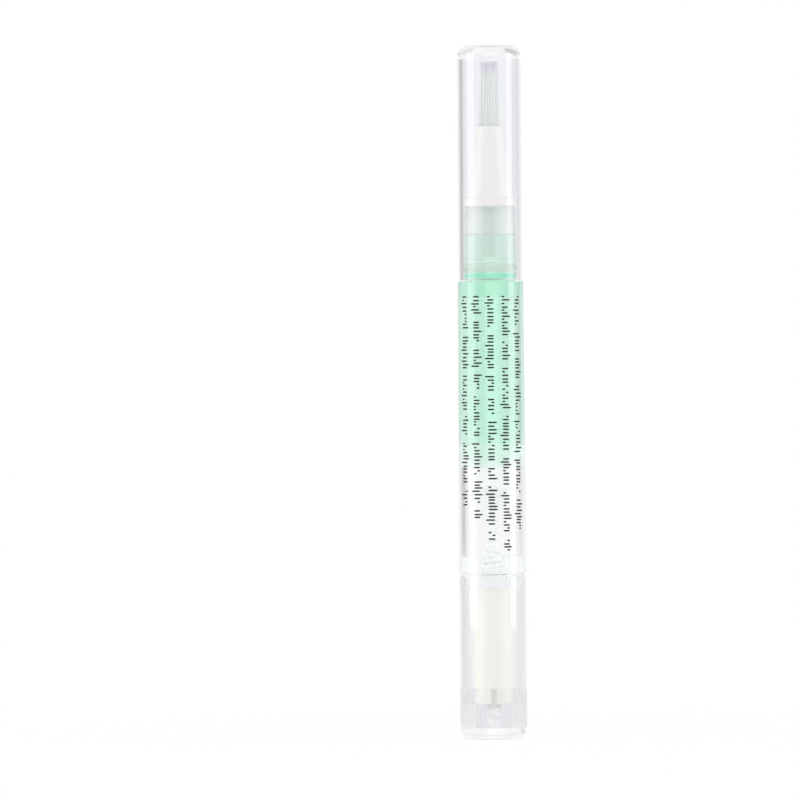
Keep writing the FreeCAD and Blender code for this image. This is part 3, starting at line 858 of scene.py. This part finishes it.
# tail plug
plugRadius, plugFoot, plugTop = span("tail_plug")
plug = {
    "disc": 2.3, "edgeRound": 1.75, "rimRound": 0.1, "bore": 2.6, "skirtWall": 0.94,
    "skirtRound": 0.2, "grip": 0.02,
    "ribs": 4, "ribWidth": 0.9, "ribInner": 3.1, "ribHeight": 2.55, "ribSunk": 0.5,
    "look": {
        "color": shade(254, 254, 255), "color2": shade(252, 252, 253), "roughness": 0.03,
        "grain": 0.03, "bump": 0.05, "ior": 1.39, "clear": 1.0, "marks": 0.6,
        "letsLightIn": (0.99, 0.99, 0.99, 1.0)},
}


def makePlug():
    skirt = knobRadius - knob["wall"] + plug["grip"]
    inner = skirt - plug["skirtWall"]
    piece = spunPiece("tailPlug", [
        (0, plugFoot),
        (plugRadius, plugFoot, plug["edgeRound"]),
        (plugRadius, plug["disc"], plug["rimRound"]),
        (skirt, plug["disc"]),
        (skirt, plugTop, plug["skirtRound"]),
        (inner, plugTop),
        (inner, sleeveFoot),
        (plug["bore"], sleeveFoot),
        (plug["bore"], plug["disc"]),
        (0, plug["disc"])], "knob")
    ribs = []
    half = plug["ribWidth"] / 2
    for i in range(plug["ribs"]):
        rib = block((plug["ribInner"], -half, sleeveFoot - plug["ribSunk"]),
                    (inner + plug["skirtWall"] / 2, half, sleeveFoot + plug["ribHeight"]))
        bmesh.ops.rotate(rib, cent=(0, 0, 0), verts=rib.verts,
                         matrix=Matrix.Rotation(math.tau * i / plug["ribs"], 3, "Z"))
        ribs.append(rib)
    combine(piece, ribs, "UNION")
    dress(piece, plasticMaterial("plugClear", plug["look"]), ["tail_plug"])


makePlug()
print("tail plug is made")

# rows of small plain strokes printed on the barrel
printing = {
    "rowDegrees": (-54.0, -27.4, -1.4, 24.6, 51.4), "top": 82.7,
    "ends": (43.6, 41.3, 37.4, 35.3, 39.3), "height": 1.3, "tall": 1.8, "width": 0.3,
    "pitch": (0.5, 0.72), "gap": (0.9, 1.2), "groupSizes": (4, 13), "columns": 6,
    # shares of the strokes, added up: those that reach up, reach down, are low and are high
    "kinds": (0.18, 0.26, 0.4, 0.54),
    "short": 0.1,  # where the low and the high ones end, as a share of half the row's height
    "narrowEnd": 0.12,  # the square of how wide a stroke's end is, as a share of its width
    "ink": 0.008, "inkDepth": 0.012,  # how far the ink stands proud, and how thick it is
    "color": shade(8, 14, 12), "color2": shade(22, 30, 27), "roughness": (0.3, 0.5),
    "grainScale": 1500.0, "sharpFrom": 60,
}


def barrelSurface(height):  # the barrel narrows evenly towards its top
    share = (height - barrelFoot) / (barrelTop - barrelFoot)
    return barrelRadius + (barrel["topRadius"] - barrelRadius) * share


def makeStroke(degrees, height, low, high):
    bm = bmesh.new()
    half = printing["width"] / 2
    made = bmesh.ops.create_grid(bm, x_segments=printing["columns"], y_segments=1, size=0.5)
    for vert in made["verts"]:
        along = low + (vert.co.x + 0.5) * (high - low)
        nearEnd = max(0.0, half - min(along - low, high - along)) / half
        width = half * math.sqrt(max(printing["narrowEnd"], 1 - nearEnd ** 2))
        level = height + (width if vert.co.y > 0 else -width)
        radius = barrelSurface(level) + printing["ink"]
        angle = math.radians(degrees) + along / radius
        vert.co = Vector((math.sin(angle) * radius, -math.cos(angle) * radius, level)) * mm
    under = bmesh.ops.extrude_face_region(bm, geom=bm.faces[:])["geom"]
    for item in under:
        if isinstance(item, bmesh.types.BMVert):
            item.co -= Vector((item.co.x, item.co.y, 0)).normalized() * printing["inkDepth"] * mm
    return bm


def strokeEnds():  # most strokes are as high as the row, some reach out of it, some are short
    half = printing["height"] / 2
    short = half * printing["short"]
    reachUp, reachDown, low, high = printing["kinds"]
    draw = random.random()
    if draw < reachUp:
        return -half, printing["tall"] - half
    if draw < reachDown:
        return half - printing["tall"], half
    if draw < low:
        return -half, -short
    if draw < high:
        return short, half
    return -half, half


def makePrinting():
    bm = bmesh.new()
    stroke = bpy.data.meshes.new("stroke")
    for degrees, end in zip(printing["rowDegrees"], printing["ends"]):
        height = printing["top"]
        while height > end:
            for _ in range(random.randint(*printing["groupSizes"])):
                if height < end:
                    break
                small = makeStroke(degrees, height, *strokeEnds())
                small.to_mesh(stroke)
                small.free()
                bm.from_mesh(stroke)
                height -= random.uniform(*printing["pitch"])
            height -= random.uniform(*printing["gap"])
    bpy.data.meshes.remove(stroke)
    piece = finishMesh("printRows", bm, "barrel", printing["sharpFrom"])
    material, tree, output, shader = newMaterial("printInk")
    noise = addNode(tree, "ShaderNodeTexNoise", {
        "Vector": objectPlace(tree), "Scale": printing["grainScale"], "Detail": 3.0})
    tone = mixColor(tree, noise.outputs["Fac"], printing["color"], printing["color2"])
    tree.links.new(tone, shader.inputs["Base Color"])
    rough = mapRange(tree, noise.outputs["Fac"], 0.0, 1.0, *printing["roughness"])
    tree.links.new(rough, shader.inputs["Roughness"])
    tree.links.new(shader.outputs[0], output.inputs["Surface"])
    dress(piece, material)


makePrinting()
print("printing is made")

# pieces that keep their CAD shape
screwLook = {
    "color": shade(253, 253, 253), "color2": shade(251, 252, 252), "roughness": 0.35,
    "grain": 0.1, "bump": 0.1, "marks": 0.2, "ior": 1.14, "clear": 0.66,
    "letsLightIn": (0.94, 0.94, 0.94, 1.0)}
nutLook = {
    "color": shade(253, 254, 255), "color2": shade(251, 253, 254), "roughness": 0.2,
    "grain": 0.08, "bump": 0.08, "marks": 0.2, "ior": 1.2, "clear": 0.75,
    "letsLightIn": (0.97, 0.975, 0.98, 1.0)}
ringLook = {
    "color": shade(252, 252, 250), "color2": shade(250, 250, 248), "roughness": 0.35,
    "grain": 0.1, "bump": 0.1, "marks": 0.2, "ior": 1.3, "clear": 0.6,
    "letsLightIn": (0.95, 0.95, 0.95, 1.0)}
rootLook = {
    "color": shade(232, 234, 230), "color2": shade(222, 226, 221), "roughness": 0.4,
    "grain": 0.15, "bump": 0.3, "marks": 0.0, "ior": 1.49}
for node, look in (("lead_screw", screwLook), ("nut_insert", nutLook),
                   ("click_ring", ringLook), ("bristle_root", rootLook)):
    dress(nodes[node], plasticMaterial(node.replace("_", "") + "Plastic", look))
print("kept pieces are painted")

# studio: a white tent with soft grey gaps, and a lamp at each side
studio = {
    "tent": (0.9, 0.9, 0.9, 1),  # what lights the pieces
    "white": (1, 1, 1, 1),
    "lampLeft": {"degrees": -74, "lift": 12, "size": (440, 800), "watts": 2.5},
    "lampRight": {"degrees": 76, "lift": 12, "size": (320, 800), "watts": 2.2},
    "distance": 750.0,
    "gapTop": (0.15, 0.4),  # the upward part of the direction in which the gaps fade out
    # degrees to the right of the line straight behind the pen, and what is seen there:
    # through the pen, by light thrown back inside it, and over the floor
    "throughBands": (
        (-90, 0.95), (-54, 0.97), (-50, 0.72), (-40, 0.72), (-36, 0.94), (-14, 0.93),
        (-6, 1.0), (5, 1.0), (12, 0.93), (36, 0.94), (50, 0.98), (62, 0.88), (90, 0.95)),
    "reflectedBands": (
        (-90, 0.8), (-55, 0.72), (-46, 0.58), (-24, 0.58), (-17, 0.95), (17, 0.98), (26, 0.8),
        (46, 0.78), (90, 0.8)),
    "floorThroughBands": (
        (-90, 0.95), (-40, 0.9), (-14, 0.88), (-6, 1.0), (5, 1.0), (12, 0.9), (40, 0.9),
        (90, 0.95)),
    "floorReflectedBands": (
        (-90, 0.93), (-30, 0.88), (-10, 0.98), (10, 0.98), (30, 0.9), (90, 0.93)),
}


def bandRamp(tree, share, bands):
    ramp = addNode(tree, "ShaderNodeValToRGB", {"Fac": share})
    ramp.color_ramp.interpolation = "EASE"
    elements = ramp.color_ramp.elements
    while len(elements) < len(bands):
        elements.new(0.5)
    for element, (degrees, value) in zip(elements, bands):
        element.position = (degrees + 90) / 180
        element.color = (value, value, value, 1)
    return ramp.outputs["Color"]


# what the pen shows of its surroundings, by the side they are on
def studioColor(tree, away, path, throughBands, reflectedBands):
    parts = addNode(tree, "ShaderNodeSeparateXYZ", {0: away})
    along = mathNode(tree, "ABSOLUTE", parts.outputs["Y"])
    turn = mathNode(tree, "ARCTAN2", parts.outputs["X"], along)
    share = mathNode(tree, "ADD", mathNode(tree, "DIVIDE", turn, math.pi), 0.5)
    through = bandRamp(tree, share, throughBands)
    reflected = bandRamp(tree, share, reflectedBands)
    turnedBack = mathNode(tree, "GREATER_THAN", path.outputs["Glossy Depth"], 0.5)
    color = mixColor(tree, turnedBack, through, reflected)
    # the gaps end a little over the pen, where the tent closes
    lift = mathNode(tree, "ABSOLUTE", parts.outputs["Z"])
    color = mixColor(tree, mapRange(tree, lift, *studio["gapTop"]), color, studio["white"])
    return mixColor(tree, path.outputs["Is Camera Ray"], color, studio["white"])


def makeWorld():
    world = bpy.data.worlds.new("studio")
    scene.world = world
    world.use_nodes = True
    tree = world.node_tree
    tree.nodes.clear()
    output = addNode(tree, "ShaderNodeOutputWorld")
    direction = addNode(tree, "ShaderNodeTexCoord").outputs["Generated"]
    path = addNode(tree, "ShaderNodeLightPath")
    color = studioColor(
        tree, direction, path, studio["throughBands"], studio["reflectedBands"])
    color = mixColor(tree, path.outputs["Is Diffuse Ray"], color, studio["tent"])
    light = addNode(tree, "ShaderNodeBackground", {"Color": color, "Strength": 1.0})
    tree.links.new(light.outputs[0], output.inputs["Surface"])


def makeLamp(name):
    values = studio[name]
    lamp = bpy.data.lights.new(name, "AREA")
    lamp.shape = "RECTANGLE"
    lamp.size, lamp.size_y = (length * mm for length in values["size"])
    lamp.energy = values["watts"]
    holder = bpy.data.objects.new(name, lamp)
    angle, lift = math.radians(values["degrees"]), math.radians(values["lift"])
    away = Vector((math.sin(angle) * math.cos(lift), -math.cos(angle) * math.cos(lift),
                   math.sin(lift)))
    holder.location = away * studio["distance"] * mm + (cadBox[0] + cadBox[1]) / 2
    holder.rotation_euler = away.to_track_quat("Z", "Y").to_euler()
    holder.visible_camera = False
    holder.visible_transmission = False
    scene.collection.objects.link(holder)


makeWorld()
makeLamp("lampLeft")
makeLamp("lampRight")

# floor: white, with the pen's soft shadow near its foot
floor = {
    "radius": 1500.0, "color": (0.9, 0.9, 0.9, 1), "roughness": 0.8,
    "glow": 0.86, "fade": (60.0, 200.0),  # its own glow, which gets full between these radii
}


def makeFloor():
    bm = bmesh.new()
    bmesh.ops.create_circle(bm, cap_ends=True, radius=floor["radius"] * mm, segments=96)
    mesh = bpy.data.meshes.new("floor")
    bm.to_mesh(mesh)
    bm.free()
    piece = bpy.data.objects.new("floor", mesh)
    scene.collection.objects.link(piece)
    material, tree, output, shader = newMaterial("floorWhite")
    shader.inputs["Base Color"].default_value = floor["color"]
    shader.inputs["Roughness"].default_value = floor["roughness"]
    shader.inputs["Specular IOR Level"].default_value = 0.0
    place = objectPlace(tree)
    away = addNode(tree, "ShaderNodeVectorMath", {0: place}, operation="LENGTH").outputs["Value"]
    fade = mapRange(tree, away, *(radius * mm for radius in floor["fade"]), floor["glow"],
                    interpolation_type="SMOOTHSTEP")
    path = addNode(tree, "ShaderNodeLightPath")
    seen = mathNode(tree, "MAXIMUM", path.outputs["Is Camera Ray"], path.outputs["Is Glossy Ray"])
    seen = mathNode(tree, "MAXIMUM", seen, path.outputs["Is Transmission Ray"])
    share = mathNode(tree, "MULTIPLY", seen, fade)
    color = studioColor(
        tree, place, path, studio["floorThroughBands"], studio["floorReflectedBands"])
    glow = addNode(tree, "ShaderNodeEmission", {"Color": color, "Strength": 1.0})
    mix = addNode(tree, "ShaderNodeMixShader", {
        "Fac": share, 1: shader.outputs[0], 2: glow.outputs[0]})
    tree.links.new(mix.outputs[0], output.inputs["Surface"])
    piece.data.materials.append(material)


makeFloor()
print("studio and floor are made")

# camera, level and square to the pen, which leans a little in the picture
camera = {
    "distance": 1600.0, "sensor": 36.0, "leanDegrees": 0.445, "clip": (50.0, 20000.0),
    "frameWidth": 149.75,  # what the picture takes in at the pen
    "right": 17.11, "up": 1.57,  # how far the pen stands from the picture's middle
}


def makeCamera():
    low, high = cadBox
    data = bpy.data.cameras.new("camera")
    data.sensor_width = camera["sensor"]
    data.lens = camera["sensor"] * camera["distance"] / camera["frameWidth"]
    data.clip_start, data.clip_end = (distance * mm for distance in camera["clip"])
    holder = bpy.data.objects.new("camera", data)
    lean = math.radians(camera["leanDegrees"])
    up = Vector((math.sin(lean), 0, math.cos(lean)))
    forward = Vector((0, 1, 0))
    right = forward.cross(up)
    place = (low + high) / 2 - (
        right * camera["right"] + up * camera["up"] + forward * camera["distance"]) * mm
    turn = Matrix((right, up, -forward)).transposed()
    holder.matrix_world = Matrix.Translation(place) @ turn.to_4x4()
    scene.collection.objects.link(holder)
    scene.camera = holder


makeCamera()
scene.view_settings.view_transform = "Standard"
# light passes many clear walls here, one inside the other
scene.cycles.max_bounces = 32
scene.cycles.transmission_bounces = 32
scene.cycles.transparent_max_bounces = 32
scene.cycles.glossy_bounces = 8
scene.cycles.diffuse_bounces = 4
print("camera is made")
